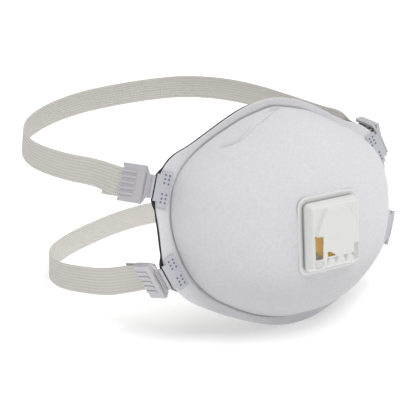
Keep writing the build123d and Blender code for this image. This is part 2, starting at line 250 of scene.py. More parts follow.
# folds either side of the nose: u, v, w on the cup, depth of the step, width of its wall
CREASE = [(-43.1, 40.4, 15.2, 0.0, 0.3), (-41.1, 40.7, 17.0, 1.0, 0.5), (-37.5, 41.4, 19.4, 1.1, 0.5), (-32.4, 43.1, 21.0, 1.3, 0.6),
          (-27.5, 45.4, 20.9, 1.5, 0.7), (-22.8, 48.0, 20.0, 1.9, 0.9), (-19.4, 49.7, 19.5, 2.4, 1.5), (-15.9, 51.0, 19.3, 3.0, 2.5),
          (-10.6, 53.2, 17.4, 2.8, 2.5), (-5.0, 55.1, 15.5, 2.2, 1.9), (1.1, 56.2, 13.4, 1.2, 1.2), (6.2, 55.8, 11.6, 0.0, 0.4)]


def crease_field(P, N):
    """Step of the folds at each point: depth in mm, and the painted shade the fold leaves on it."""
    knots = np.array(CREASE, float)
    knots[:, :3] = snap(knots[:, :3], P)
    line = catmull(knots, 12)
    depth, shade = np.zeros(P.shape[:2]), np.ones(P.shape[:2])
    for mirror in (1.0, -1.0):
        flip = np.array([mirror, 1.0, 1.0])
        Q, M = P * flip, N * flip
        best = np.full(P.shape[:2], 1e9)
        sign, dep, wid = (np.zeros(P.shape[:2]) for _ in range(3))
        for i in range(len(line) - 1):
            a, b = line[i, :3], line[i + 1, :3]
            d = b - a
            L = d @ d
            t = np.clip(((Q - a) @ d) / L, 0, 1)
            e = Q - a - t[..., None] * d
            dist = (e * e).sum(-1)
            m = dist < best
            best = np.where(m, dist, best)
            dep = np.where(m, line[i, 3] + (line[i + 1, 3] - line[i, 3]) * t, dep)
            wid = np.where(m, line[i, 4] + (line[i + 1, 4] - line[i, 4]) * t, wid)
            sign = np.where(m, np.sign((np.cross(d, e) * M).sum(-1)), sign)
        dist = np.sqrt(best) * sign  # positive towards the flange
        wid = np.maximum(wid, 0.3)
        fall = np.clip((dist + 0.1) / wid, 0, 1)
        back = np.exp(-np.maximum(dist - wid, 0) / 3.6)
        fade = smoothstep(0.0, 0.6, dep)
        depth = np.maximum(depth, np.maximum(dep, 0) * fall * back)
        # painted shade: a dark band over the fold's wall, and a softer one over the leaf beside it
        band = smoothstep(-0.25, 0.1, dist) * (1 - smoothstep(wid * 0.85, wid * 1.0 + 0.35, dist))
        soft = np.where(dist > 0, np.exp(-np.maximum(dist - wid, 0) / 2.2), 0)
        shade = shade * (1 - fade * np.maximum(0.70 * band, 0.22 * soft))
    return depth, shade


def snap(pts, P):
    """Nearest points of the cup's surface."""
    flat = P.reshape(-1, 3)
    return np.array([flat[np.argmin(((flat - q) ** 2).sum(1))] for q in pts])


def cup_surfaces():
    th = theta_samples()
    P, kind = base_grid(th)
    N = grid_normals(P)
    # blur the normals round the foot so the inner layers stay even
    for _ in range(6):
        N[11:20] = (N[10:19] + N[11:20] + N[12:21]) / 3
    N /= np.linalg.norm(N, axis=2, keepdims=True)
    seg = np.linalg.norm(np.diff(P, axis=0), axis=2)
    arc = np.vstack([np.zeros(len(th)), np.cumsum(seg, 0)])
    foot_i = 12
    d_foot = arc - arc[foot_i]
    lift = np.zeros(arc.shape)
    fold, shade = crease_field(P, N)
    # painted shade along the groove at the dome's foot
    shade = shade * (1 - 0.28 * np.exp(-((d_foot / 0.6) ** 2)))
    shade = shade * (1 - 0.24 * smoothstep(0.0, 0.75, -N[..., 1]))  # painted shade: faces turned down on the chin side are darkened
    lift -= 0.95 * np.exp(-((d_foot / 0.55) ** 2))  # groove
    for j, (k, f) in enumerate(kind):
        if k == "dome":
            lift[j] -= fold[j] * smoothstep(0.2, 1.6, d_foot[j])
        if k == "pad":
            lift[j] += 0.6 * smoothstep(0.0, 0.13, np.full(len(th), f))
    # worn-in unevenness of moulded fibre, a few hundredths deep
    uu, vv = P[..., 0], P[..., 1]
    soft = 0.10 * np.sin(uu * 0.19 + 1.3) * np.sin(vv * 0.23 + 0.4) + 0.05 * np.sin(uu * 0.41 + vv * 0.33)
    on_dome = np.array([1.0 if k == "dome" else 0.0 for k, _ in kind])[:, None]
    lift += soft * on_dome * smoothstep(1, 6, d_foot)
    return th, P, N, lift, kind, shade


TH, BASE, NORM, LIFT, KIND, SHADE = cup_surfaces()
IS_FLANGE = np.array([k == "flange" for k, _ in KIND])


def layer(name, top, bottom, f_top, f_bottom, edge=0.0, detail=True, lip=0.5):
    """A closed skin between two depths of the cup (mm under the front), with a rounded flange edge."""
    cols = len(TH)
    ft = np.where(IS_FLANGE, f_top, top)[:, None]
    fb = np.where(IS_FLANGE, f_bottom, bottom)[:, None]
    # depth changes smoothly over the foot
    for arr in (ft, fb):
        for _ in range(4):
            arr[8:18] = (arr[7:17] + arr[8:18] + arr[9:19]) / 3
    front = BASE + NORM * ((LIFT if detail else LIFT * 0.35) - ft)[..., None]
    back = BASE + NORM * ((LIFT * 0.35) - fb)[..., None]
    if edge:
        s, c = np.sin(TH), np.cos(TH)
        for j in range(12):
            k = KIND[j][1]
            for arr in (front, back):
                arr[j, :, 0] -= s * edge * (1 - k)
                arr[j, :, 1] -= c * edge * (1 - k)
    # round the outer edge
    mid = (front[0] + back[0]) / 2
    out = np.stack([np.sin(TH), np.cos(TH), np.zeros(cols)], 1)
    half = np.linalg.norm(front[0] - back[0], axis=1)[:, None] / 2
    rows = []
    for a in (-60, -30, 0, 30, 60):
        r = math.radians(a)
        rows.append(mid + out * half * lip * math.cos(r) * 1.1 + (front[0] - mid) * math.sin(r))
    ring = np.vstack([back[::-1], np.array(rows), front])  # back from port to edge, round, front to port
    pts = rim_pt(ring[..., 0], ring[..., 1], ring[..., 2]).reshape(-1, 3)
    n = len(ring)
    faces = grid_faces(n, cols, closed_cols=True, closed_rows=True)
    ob = new_mesh(name, pts, faces)
    if detail:
        # painted shade of the folds, groove and chin side, on the front skin only
        tone = np.vstack([np.ones((len(back) + len(rows), cols)), SHADE])
        paint(ob, tone.ravel())
    return ob


cup_outer = layer("cup_outer_web", 0.0, 0.75, 0.0, 0.9, lip=1.0)
cup_filter = layer("cup_filter_web", 0.8, 2.15, 0.95, 1.55, edge=0.9, detail=False)
cup_inner = layer("cup_inner_web", 2.2, 3.0, 1.6, 2.15, edge=0.35, detail=False, lip=0.8)
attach(cup_outer, "mask")
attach(cup_filter, "mask")
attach(cup_inner, "mask")
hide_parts("outer_shell")
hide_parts("filter_layer")
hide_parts("inner_shell")


# ------------------------------------------------------------------ face seal
def seal_ring():
    th = np.radians(np.arange(0, 360, 1.0))
    rr, fr, bow = rim_r(th), foot_r(th), periodic(BOW, th)
    s, c = np.sin(th), np.cos(th)
    t = np.abs(signed(th))
    outer = rr - 0.15 + 0.75 * np.exp(-(((t - 91) / 10) ** 4))
    outer = outer + 0.55 * smoothstep(8, 16, t) * (1 - smoothstep(60, 68, t))
    for at, wide in ((72.5, 7.5), (107.5, 7.0)):  # tongues under the buckle tabs
        tall = np.where((signed(th) > 0) & (at < 90), 0.9, 2.3)
        outer = outer + tall * np.exp(-(((t - at) / wide) ** 6))
    outer = outer - 1.7 * smoothstep(115, 122, t)
    inner = fr - 7.0
    prof = [(-0.1, 0.0), (0.1, 0.2), (0.1, 0.55), (-0.15, 0.95), (-0.8, 1.35), (-1.7, 1.8), (-3.4, 2.35)]
    rows = []
    for dr, dn in prof:  # outer edge, from under the flange round to the back
        rows.append(np.stack([(outer + dr) * s, (outer + dr) * c, bow + 0.05 - dn], 1))
    span = outer - 3.0 - inner
    for k in np.linspace(0.1, 1, 9):
        r = outer - 3.0 - span * k
        rows.append(np.stack([r * s, r * c, bow - 2.45 - 0.35 * np.sin(k * math.pi) + 0.5 * k * k], 1))
    rows.append(np.stack([(inner - 0.5) * s, (inner - 0.5) * c, bow - 1.2], 1))
    rows.append(np.stack([inner * s, inner * c, bow - 0.45], 1))
    rows.append(np.stack([(inner + 4) * s, (inner + 4) * c, bow - 0.05], 1))
    ring = np.array(rows)
    pts = rim_pt(ring[..., 0], ring[..., 1], ring[..., 2]).reshape(-1, 3)
    return new_mesh("seal_ring", pts, grid_faces(len(ring), len(th), True, True))


seal = seal_ring()
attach(seal, "mask")
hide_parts("face_seal")


# ------------------------------------------------------------------ nose strip inside the flange
def nose_strip():
    th = np.radians(np.linspace(-40, 40, 81))
    rr, bow = rim_r(th), periodic(BOW, th)
    s, c = np.sin(th), np.cos(th)
    rows = []
    for dr, w in ((-1.3, 0.95), (-1.3, 1.2), (-3.2, 1.2), (-3.2, 0.95)):
        rows.append(np.stack([(rr + dr) * s, (rr + dr) * c, bow + w], 1))
    ring = np.array(rows)
    pts = rim_pt(ring[..., 0], ring[..., 1], ring[..., 2]).reshape(-1, 3)
    n = len(th)
    faces = grid_faces(4, n, closed_cols=False, closed_rows=True)
    faces += [(0, n, 2 * n, 3 * n), (4 * n - 1, 3 * n - 1, 2 * n - 1, n - 1)]
    return new_mesh("nose_strip", pts, faces, smooth=False)


strip = nose_strip()
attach(strip, "mask")
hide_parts("nose_clip")


# ------------------------------------------------------------------ headbands
def unit(v):
    v = np.asarray(v, float)
    return v / np.linalg.norm(v)


HINGE_OUT, HINGE_W = 3.9, 1.6


def corner(edge_mid, along, run, side=-1, skew=0.0):
    a2 = unit([along[0], along[1]])
    out2 = np.array([a2[1], -a2[0]]) * side
    ax = unit(X * a2[0] + RV * a2[1])
    out = unit(X * out2[0] + RV * out2[1])
    mid = MID + (X * edge_mid[0] + RV * edge_mid[1]) * MM
    d = np.array(run, float)
    d = unit(d - ax * (d @ ax))
    hinge = mid + (out * HINGE_OUT + RN * HINGE_W) * MM
    face = np.cross(d, ax) * side
    k, m = math.cos(math.radians(skew)), math.sin(math.radians(skew))
    return {"o": hinge, "d": d * k + ax * m, "n": face, "a": ax * k - d * m, "film": d, "ax": ax,
            "out": out, "mid": mid, "side": side}


CORNERS = {
    "upper_left": corner((-74.0, 23.85), (0.354, 0.935), (-0.451, 0.893, 0.0)),
    "upper_right": corner((74.0, 23.85), (-0.354, 0.935), (-0.031, 0.97, -0.243), side=1, skew=22),
    "lower_left": corner((-73.45, -23.8), (-0.385, 0.923), (-0.144, 0.949, -0.287)),
    "lower_right": corner((73.45, -23.8), (0.385, 0.923), (0.144, 0.949, -0.287), side=1),
}
UPPER_LOOP = [(-91.5, 45, 23.8, 0.05), (-98, 62, 23.2, 0.02), (-103.5, 82, 23.0, 0.04), (-105, 100, 23.2, 0.08),
              (-100, 122, 23.8, 0.11), (-86, 145, 24.4, 0.15), (-62, 166, 24.9, 0.18),
              (-34, 180, 25.2, 0.19), (-5, 186, 25.3, 0.19), (23, 187, 25.3, 0.19),
              (44, 183, 25.3, 0.18), (60, 171, 25.2, 0.16), (70.5, 152, 25.2, 0.13),
              (75.5, 129, 25.3, 0.1), (77, 105, 25.5, 0.08), (77, 83, 25.9, 0.05),
              (76.2, 62, 26.6, 0.02), (75.6, 44, 27.6, 0.0)]
LOWER_LOOP = [(-92, 32, -36.2, 0.0), (-99, 50, -39.8, 0.0), (-101.5, 68, -43.6, 0.0),
              (-99, 88, -48.2, 0.0), (-92.5, 108, -52.2, 0.03), (-82, 126, -54.6, 0.06),
              (-64, 140, -55.0, 0.1), (-42, 151, -55.0, 0.12), (-18, 160, -55.0, 0.13),
              (4, 164, -55.0, 0.13), (27, 162, -55.0, 0.13), (49, 152, -55.0, 0.11),
              (67, 135, -54.6, 0.08), (79, 112, -52.4, 0.05), (86, 88, -48.6, 0.02),
              (89, 64, -43.8, 0.0), (89, 42, -38.6, 0.0)]
STRAP_W, STRAP_T, STRAP_N = 16.0, 0.9, 1.75
TAIL, LOOP_FROM = 35.0, 22.5


def thread_path(fr, drop):
    """Threaded end in the buckle's frame, from the loop side to the free end, as points."""
    n = STRAP_N
    far = n + STRAP_T + 0.7
    path = [(LOOP_FROM, -n), (19.0, -n), (16.2, -n), (14.75, -n + 0.35), (14.15, -0.7), (13.75, 0.8), (12.9, n - 0.05),
            (10.8, n + 0.1), (8.7, n - 0.05), (7.95, 0.8), (7.55, -0.7), (7.2, -far + 1.6), (7.5, -far + 0.5), (8.6, -far),
            (13.0, -far), (20.0, -far), (28.0, -far - drop * 0.5), (TAIL, -far - drop)]
    q = catmull([(x, y, 0) for x, y in path], 7)
    return [fr["o"] + (fr["d"] * x + fr["n"] * y) * MM for x, y, _ in q]


def strap_rows(left, right, loop, drops):
    """Middle line and width direction of a whole headband, from the left free end to the right one."""
    A, B = CORNERS[left], CORNERS[right]
    ta = thread_path(A, drops[0])[::-1]
    tb = thread_path(B, drops[1])
    mids = [MID + np.array([x, y, z]) * MM for x, y, z, _ in loop]
    start, end = ta[-1], tb[0]
    leans = [l for *_, l in loop]
    knots = [start - A["d"] * 6 * MM, start] + mids + [end, end - B["d"] * 6 * MM]
    # widths at the knots
    widths = [A["a"], A["a"]]
    for i, l in enumerate(leans):
        t = unit(np.array(knots[i + 3]) - np.array(knots[i + 1]))
        inward = np.cross([0, 0, 1.0], t)
        if inward @ (MID + np.array([-10, 80, 0]) * MM - mids[i]) < 0:
            inward = -inward
        b = np.array([0, 0, 1.0]) * math.cos(l) + unit(inward) * math.sin(l)
        widths.append(unit(b - t * (b @ t)))
    widths += [B["a"], B["a"]]
    rows = np.hstack([np.array(knots), np.array(widths)])
    line = catmull(rows, 16)
    keep = line[16:-16]  # drop the helper spans
    pts = [(p, A["a"]) for p in ta[:-1]] + [(r[:3], unit(r[3:])) for r in keep] + [(p, B["a"]) for p in tb[1:]]
    P = np.array([p for p, _ in pts])
    W = np.array([w for _, w in pts])
    # drop points that nearly coincide
    ok = [0]
    for i in range(1, len(P)):
        if np.linalg.norm(P[i] - P[ok[-1]]) > 0.12 * MM:
            ok.append(i)
    return P[ok], W[ok]


def ribbon(name, P, W, s0, ribs=9, width=STRAP_W, thick=STRAP_T, caps=(True, True)):
    """A ribbed elastic band along P with its width along W. s0 is the length at its first point (m)."""
    T = np.gradient(P, axis=0)
    T /= np.linalg.norm(T, axis=1, keepdims=True)
    W = W - T * (W * T).sum(1, keepdims=True)
    W /= np.linalg.norm(W, axis=1, keepdims=True)
    D = np.cross(T, W)
    per = 6
    n = ribs * per
    y = np.linspace(-0.5, 0.5, n + 1)
    ph = (np.arange(n + 1) % per) / per
    wave = np.abs(np.sin(np.pi * ph)) ** 0.7
    body = thick / 2 - 0.2 + 0.2 * wave
    edge = np.clip((0.5 - np.abs(y)) * width / 0.35, 0, 1)
    body = body * (0.45 + 0.55 * np.sqrt(edge))
    prof = [(a * width, b) for a, b in zip(y, body)] + [(a * width, -b) for a, b in zip(y[::-1], body[::-1])]
    m = len(prof)
    s = s0 + np.concatenate([[0], np.cumsum(np.linalg.norm(np.diff(P, axis=0), axis=1))])
    ring = np.array([[P[i] + (W[i] * a + D[i] * b) * MM for a, b in prof] for i in range(len(P))])
    faces = grid_faces(len(P), m, True, False)
    if caps[0]:
        faces.append(tuple(range(m)))
    if caps[1]:
        faces.append(tuple(range((len(P) - 1) * m, len(P) * m))[::-1])
    uv = np.array([[(s[i]) / 0.016, (a / width + 0.5)] for i in range(len(P)) for a, b in prof])
    return new_mesh(name, ring.reshape(-1, 3), faces, uvs=uv), s


def headband(prefix, left, right, loop, drops, node, slot):
    P, W = strap_rows(left, right, loop, drops)
    far = int(np.argmax(P[:, 1]))
    made = []
    lens = np.concatenate([[0], np.cumsum(np.linalg.norm(np.diff(P, axis=0), axis=1))])
    for name, sl, cor, s0, caps in (
        (prefix + "_left_half", slice(0, far + 1), left, 0.0, (True, False)),
        (prefix + "_right_half", slice(far, None), right, lens[far], (False, True)),
    ):
        ob, _ = ribbon(name, P[sl], W[sl], s0, caps=caps)
        C = CORNERS[cor]
        end = C["o"] + C["d"] * 24 * MM
        pts = P[sl]
        reach = C["o"] + C["d"] * 88 * MM
        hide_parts(node)
        made.append((ob, C, end, reach, cor))
    return made, P, W, lens


ALL_STRAPS = []
for args in (
    ("upper_headband", "upper_left", "upper_right", UPPER_LOOP, (2.6, 0.2), "upper_headband", "upper_headband"),
    ("lower_headband", "lower_left", "lower_right", LOWER_LOOP, (0.2, 0.2), "lower_headband", "lower_headband"),
):
    made, P, W, lens = headband(*args)
    ALL_STRAPS += made


# ------------------------------------------------------------------ weld points on the tabs
def weld_points(name, C):
    """Twelve dimpled weld points in two groups, on one tab."""
    verts, faces = [], []
    for dx in (-1.25, 1.25):
        for i, dy in enumerate((7.4, 5.2, 3.0, -3.0, -5.2, -7.4)):
            wob = 0.12 * math.sin(7.1 * dy + 3.3 * dx)
            at = C["mid"] + (C["out"] * (-3.3 + dx + wob) + C["ax"] * (dy + wob) + RN * 2.2) * MM
            base = len(verts)
            for r, h in ((0.62, 0.70), (0.60, 0.745), (0.50, 0.76), (0.30, 0.66)):
                for k in range(16):
                    a = 2 * math.pi * k / 16
                    verts.append(at + (C["out"] * (r * math.cos(a)) + C["ax"] * (r * math.sin(a)) + RN * h) * MM)
            verts.append(at + RN * 0.62 * MM)
            for q in range(3):
                for k in range(16):
                    k2 = (k + 1) % 16
                    faces.append((base + q * 16 + k, base + q * 16 + k2, base + q * 16 + 16 + k2, base + q * 16 + 16 + k))
            for k in range(16):
                faces.append((base + 48 + k, base + 48 + (k + 1) % 16, base + 64))
    return new_mesh(name, verts, faces)


WELDS = []
for cname, C in CORNERS.items():
    ob = weld_points("weld_points_" + cname, C)
    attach(ob, "mask")
    WELDS.append(ob)


# ------------------------------------------------------------------ valve cover
def box_sdf(x, y, hx, hy, r):
    qx, qy = np.abs(x) - hx + r, np.abs(y) - hy + r
    return np.hypot(np.maximum(qx, 0), np.maximum(qy, 0)) + np.minimum(np.maximum(qx, qy), 0) - r


def poly_sdf(x, y, pts):
    """Signed distance to a polygon, negative inside."""
    d = np.full(x.shape, 1e9)
    inside = np.zeros(x.shape, bool)
    for (ax_, ay), (bx, by) in zip(pts, pts[1:] + pts[:1]):
        ex, ey = bx - ax_, by - ay
        t = np.clip(((x - ax_) * ex + (y - ay) * ey) / (ex * ex + ey * ey), 0, 1)
        d = np.minimum(d, np.hypot(x - ax_ - t * ex, y - ay - t * ey))
        cross = ((ay > y) != (by > y)) & (x < (bx - ax_) * (y - ay) / (by - ay + 1e-12) + ax_)
        inside ^= cross
    return np.where(inside, -d, d)


ARCH = [(-6.4, 16.1), (6.4, 16.1), (9.0, 12.6), (11.4, 8.0), (12.9, 3.8), (14.1, 0.4), (14.1, -15.9), (-14.1, -15.9),
        (-14.1, 0.4), (-12.9, 3.8), (-11.4, 8.0), (-9.0, 12.6)]
SIDE_WIN = (-14.0, -9.6, -11.3, 1.5)
LOW_WIN = (-7.1, -2.4, -10.6, -7.7)
COVER_W, COVER_H = 17.15, 18.7


def cover_mesh():
    step = 0.22
    # grid lines: rounded-square outline in rings outside, plain grid inside would crack, so one grid with snapped rim
    nx, nz = int(2 * COVER_W / step) + 1, int(2 * COVER_H / step) + 1
    xs, zs = np.linspace(-COVER_W, COVER_W, nx), np.linspace(-COVER_H, COVER_H, nz)
    Xg, Zg = np.meshgrid(xs, zs)
    # pull the square grid's corners onto a rounded outline
    R = 3.0
    k = np.maximum(np.abs(Xg) / COVER_W, np.abs(Zg) / COVER_H)
    cx, cz = np.maximum(np.abs(Xg) - (COVER_W - R), 0), np.maximum(np.abs(Zg) - (COVER_H - R), 0)
    m = np.maximum(cx, cz)
    h = np.hypot(cx, cz)
    f = np.where((cx > 0) & (cz > 0), m / np.maximum(h, 1e-9), 1.0)
    Xg = np.sign(Xg) * (np.minimum(np.abs(Xg), COVER_W - R) + cx * f)
    Zg = np.sign(Zg) * (np.minimum(np.abs(Zg), COVER_H - R) + cz * f)
    e = -box_sdf(Xg, Zg, COVER_W, COVER_H, R)  # distance in from the foot
    H = 3.3 + 0.6 * smoothstep(0.0, 0.5, e) + 0.0 * e
    shoulder = np.clip((e - 0.35) / 2.5, 0, 1)
    H = H + 3.7 * np.sin(shoulder * math.pi / 2) ** 0.9
    a = -poly_sdf(Xg, Zg, ARCH)
    panel = smoothstep(-0.25, 0.85, a)
    H = H + 1.55 * panel * smoothstep(1.0, 2.6, e)
    # crowned panel, with a row of pillows along its lower edge and fins at the right corner
    H = H + 0.35 * panel * np.clip(1 - (Xg / 15) ** 2, 0, 1) * np.clip(1 - (Zg / 17) ** 2, 0, 1)
    lobes = np.zeros_like(H)
    for cx_, wide in ((-4.6, 2.75), (1.6, 3.2), (7.6, 2.8)):
        q = ((Xg - cx_) / wide) ** 2 + ((Zg + 14.3) / 3.3) ** 2
        lobes = np.maximum(lobes, np.sqrt(np.clip(1 - q, 0, 1)))
    band = smoothstep(-10.9, -11.9, Zg) * smoothstep(-7.6, -7.1, Xg) * smoothstep(10.6, 10.0, Xg)
    H = H + band * (-1.0 + 1.35 * lobes) * smoothstep(0.2, 1.5, e)
    fins = smoothstep(10.2, 10.6, Xg) * smoothstep(14.3, 13.9, Xg) * smoothstep(-5.4, -6.4, Zg) * smoothstep(-16.3, -15.7, Zg)
    H = H - fins * (1.0 - 1.0 * np.abs(np.sin((Xg - 10.4) * math.pi / 1.25)))
    foot1 = smoothstep(-14.3, -13.8, Xg) * smoothstep(-9.3, -9.8, Xg) * smoothstep(-11.6, -12.4, Zg) * smoothstep(-16.4, -15.8, Zg)
    H = H - foot1 * (0.7 - 0.35 * np.abs(np.sin((Zg + 12) * math.pi / 1.3)))
    # painted shade: darker between the pillows, in the fins' troughs, between the foot ribs and near the outer foot
    tone = np.ones_like(H)
    tone *= 1 - 0.10 * band * (1 - lobes) - 0.12 * fins * np.abs(np.cos((Xg - 10.4) * math.pi / 1.25)) - 0.05 * foot1
    tone *= 1 - 0.05 * smoothstep(1.0, 0.1, e)
    H = np.where(e < 1e-6, 3.3, H)

    def hole(x, z):
        x0, x1, z0, z1 = SIDE_WIN
        out = (x > x0) & (x < x1 - 0.06 * (z1 - z) / 2) & (z > z0) & (z < z1 - 0.1 * (x - x0))
        x0, x1, z0, z1 = LOW_WIN
        return out | ((x > x0) & (x < x1) & (z > z0) & (z < z1 - 0.62 * np.maximum(0, x - x0 - 1.4)))

    xc = (Xg[:-1, :-1] + Xg[1:, 1:]) / 2
    zc = (Zg[:-1, :-1] + Zg[1:, 1:]) / 2
    cut = hole(xc, zc)
    verts = valve_pt(Xg, Zg, H).reshape(-1, 3).tolist()
    faces = []
    for i in range(nz - 1):
        for j in range(nx - 1):
            if not cut[i, j]:
                a0 = i * nx + j
                faces.append((a0, a0 + 1, a0 + nx + 1, a0 + nx))
    # side walls
    rim = [j for j in range(nx)] + [i * nx + nx - 1 for i in range(1, nz)] + \
          [(nz - 1) * nx + j for j in range(nx - 2, -1, -1)] + [i * nx for i in range(nz - 2, 0, -1)]
    prev = rim
    Xf, Zf = Xg.ravel(), Zg.ravel()
    tones = list(tone.ravel())
    # painted shade on the side walls, darker towards the foot
    for n, out, dark in ((2.7, 0.0, 0.62), (1.6, -0.25, 0.5), (0.6, -0.5, 0.42)):
        cur = []
        for r in rim:
            x, z = Xf[r], Zf[r]
            L = math.hypot(x, z)
            verts.append(valve_pt(x * (1 + out / L), z * (1 + out / L), n).reshape(3).tolist())
            cur.append(len(verts) - 1)
            tones.append(dark)
        for q in range(len(rim)):
            q2 = (q + 1) % len(rim)
            faces.append((prev[q2], prev[q], cur[q], cur[q2]))
        prev = cur
    ob = new_mesh("valve_cover_shell", verts, faces)
    paint(ob, tones)
    bm = bmesh.new()
    bm.from_mesh(ob.data)
    loose = [v for v in bm.verts if not v.link_faces]
    bmesh.ops.delete(bm, geom=loose, context="VERTS")
    bmesh.ops.recalc_face_normals(bm, faces=bm.faces)
    bm.to_mesh(ob.data)
    bm.free()
    mod = ob.modifiers.new("wall", "SOLIDIFY")
    mod.thickness = 0.9 * MM
    mod.offset = -1
    return ob


def rounded(hx, hy, r, n=14):
    pts = []
    for cx, cy, a0 in ((hx - r, hy - r, 0), (r - hx, hy - r, 90), (r - hx, r - hy, 180), (hx - r, r - hy, 270)):
        for k in range(n + 1):
            a = math.radians(a0 + 90 * k / n)
            pts.append((cx + r * math.cos(a), cy + r * math.sin(a)))
    return pts


def seat_flange():
    """Thin moulded rim of the valve's seat, lying on the cup around the cover."""
    rings = []
    for hx, hy, r, n in ((19.3, 21.2, 5.5, -0.9), (19.3, 21.2, 5.5, 0.4), (19.15, 21.05, 5.35, 0.65), (18.9, 20.8, 5.1, 0.8),
                         (18.2, 19.9, 4.4, 0.85), (17.2, 18.8, 3.4, 0.9), (16.2, 17.8, 2.5, 0.85), (16.0, 17.6, 2.4, 0.1)):
        p = np.array(rounded(hx, hy, r))
        rings.append(valve_pt(p[:, 0], p[:, 1], np.full(len(p), n)))
    m = len(rings[0])
    ob = new_mesh("valve_seat_flange", np.vstack(rings), grid_faces(len(rings), m, True, True))
    x, y = p[:, 0] / 16.0, p[:, 1] / 17.6
    # painted shade: by side, the left darkest, then right and bottom, the top almost none, growing towards the inner
    # edge against the cover; slight darkening at the outer edge too
    side = np.where(np.abs(x) > np.abs(y), np.where(x < 0, 0.5, 0.72), np.where(y < 0, 0.75, 0.95))
    outer_edge_shade = np.array([0.85, 0.94, 1, 1, 0.98])[:, None] * np.ones(m)
    cover_edge_shade = np.array([0.35, 0.8, 1.0])[:, None] * (side - 1)[None, :] + 1
    paint(ob, np.vstack([outer_edge_shade, cover_edge_shade]).ravel())
    return ob


def flap_mesh():
    """Thin D-shaped flap: straight along its clamp, rounded below."""
    xs = np.linspace(-12.2, 12.2, 61)
    low = -1.2 - 12.1 * np.sqrt(np.clip(1 - (xs / 12.6) ** 2, 0, 1))
    rows = []
    for k in np.linspace(0, 1, 25):
        z = 12.4 + (low - 12.4) * k
        rows.append((z, 2.98 + 0.25 * np.sin(k * math.pi) * (1 - (xs / 13) ** 2)))
    top = np.array([np.stack([xs, z, n], 1) for z, n in rows]).reshape(-1, 3)
    bot = top - np.array([0, 0, 0.45])
    pts = np.vstack([top, bot])
    nr, nc = 25, 61
    faces = grid_faces(nr, nc, False) + grid_faces(nr, nc, False, base=nr * nc, flip=True)
    edge = [j for j in range(nc)] + [i * nc + nc - 1 for i in range(1, nr)] + \
           [(nr - 1) * nc + j for j in range(nc - 2, -1, -1)] + [i * nc for i in range(nr - 2, 0, -1)]
    o = nr * nc
    for q in range(len(edge)):
        a, c = edge[q], edge[(q + 1) % len(edge)]
        faces.append((a, c, c + o, a + o))
    ob = new_mesh("exhaust_flap", valve_pt(pts[:, 0], pts[:, 1], pts[:, 2]), faces)
    bm = bmesh.new()
    bm.from_mesh(ob.data)
    bmesh.ops.recalc_face_normals(bm, faces=bm.faces)
    bm.to_mesh(ob.data)
    bm.free()
    return ob


flange_piece = seat_flange()
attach(flange_piece, "mask")
flap = flap_mesh()
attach(flap, "valve_flap")
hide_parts("valve_diaphragm")

cover = cover_mesh()
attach(cover, "mask")
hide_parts("valve_cover")


# ------------------------------------------------------------------ materials
def nodes_of(mat):
    mat.use_nodes = True
    nt = mat.node_tree
    bsdf = nt.nodes.get("Principled BSDF")
    return nt, bsdf


def add(nt, kind, **vals):
    n = nt.nodes.new(kind)
    for k, v in vals.items():
        if k in n.inputs:
            n.inputs[k].default_value = v
        else:
            setattr(n, k, v)
    return n


def cloth(name, color, rough=0.85, fibre=2600.0, bump=0.12, mottle=0.03, sheen=0.15, sss=0.0, painted_shade=False):
    """Pressed nonwoven: fine crossed fibres, faint cloudiness."""
    mat = bpy.data.materials.new(name)
    nt, b = nodes_of(mat)
    co = add(nt, "ShaderNodeTexCoord")
    cloud = add(nt, "ShaderNodeTexNoise", Scale=620.0, Detail=5.0, Roughness=0.62)
    fine = add(nt, "ShaderNodeTexNoise", Scale=fibre, Detail=4.0, Roughness=0.7)
    vor = add(nt, "ShaderNodeTexVoronoi", Scale=fibre * 0.33)
    ramp = add(nt, "ShaderNodeValToRGB")
    lo = [c * (1 - mottle) for c in color] + [1]
    hi = [min(1, c * (1 + mottle)) for c in color] + [1]
    ramp.color_ramp.elements[0].color, ramp.color_ramp.elements[1].color = lo, hi
    ramp.color_ramp.elements[0].position, ramp.color_ramp.elements[1].position = 0.35, 0.65
    for n in (cloud, fine, vor):
        nt.links.new(co.outputs["Object"], n.inputs["Vector"])
    nt.links.new(cloud.outputs["Fac"], ramp.inputs["Fac"])
    # painted shade: the base colour is multiplied by the shade stored on each point
    if painted_shade:
        at = add(nt, "ShaderNodeVertexColor")
        at.layer_name = "painted_shade"
        mul = add(nt, "ShaderNodeMix", data_type="RGBA", blend_type="MULTIPLY")
        mul.inputs[0].default_value = 1.0
        nt.links.new(ramp.outputs["Color"], mul.inputs[6])
        nt.links.new(at.outputs["Color"], mul.inputs[7])
        nt.links.new(mul.outputs[2], b.inputs["Base Color"])
    else:
        nt.links.new(ramp.outputs["Color"], b.inputs["Base Color"])
    mix = add(nt, "ShaderNodeMath", operation="ADD")
    nt.links.new(fine.outputs["Fac"], mix.inputs[0])
    nt.links.new(vor.outputs["Distance"], mix.inputs[1])
    bp = add(nt, "ShaderNodeBump", Strength=bump, Distance=0.0002)
    nt.links.new(mix.outputs[0], bp.inputs["Height"])
    nt.links.new(bp.outputs["Normal"], b.inputs["Normal"])
    b.inputs["Roughness"].default_value = rough
    b.inputs["Sheen Weight"].default_value = sheen
    b.inputs["Sheen Roughness"].default_value = 0.5
    if sss:
        b.inputs["Subsurface Weight"].default_value = sss
        b.inputs["Subsurface Radius"].default_value = (0.003, 0.003, 0.003)
        b.inputs["Subsurface Scale"].default_value = 1.0
    return mat


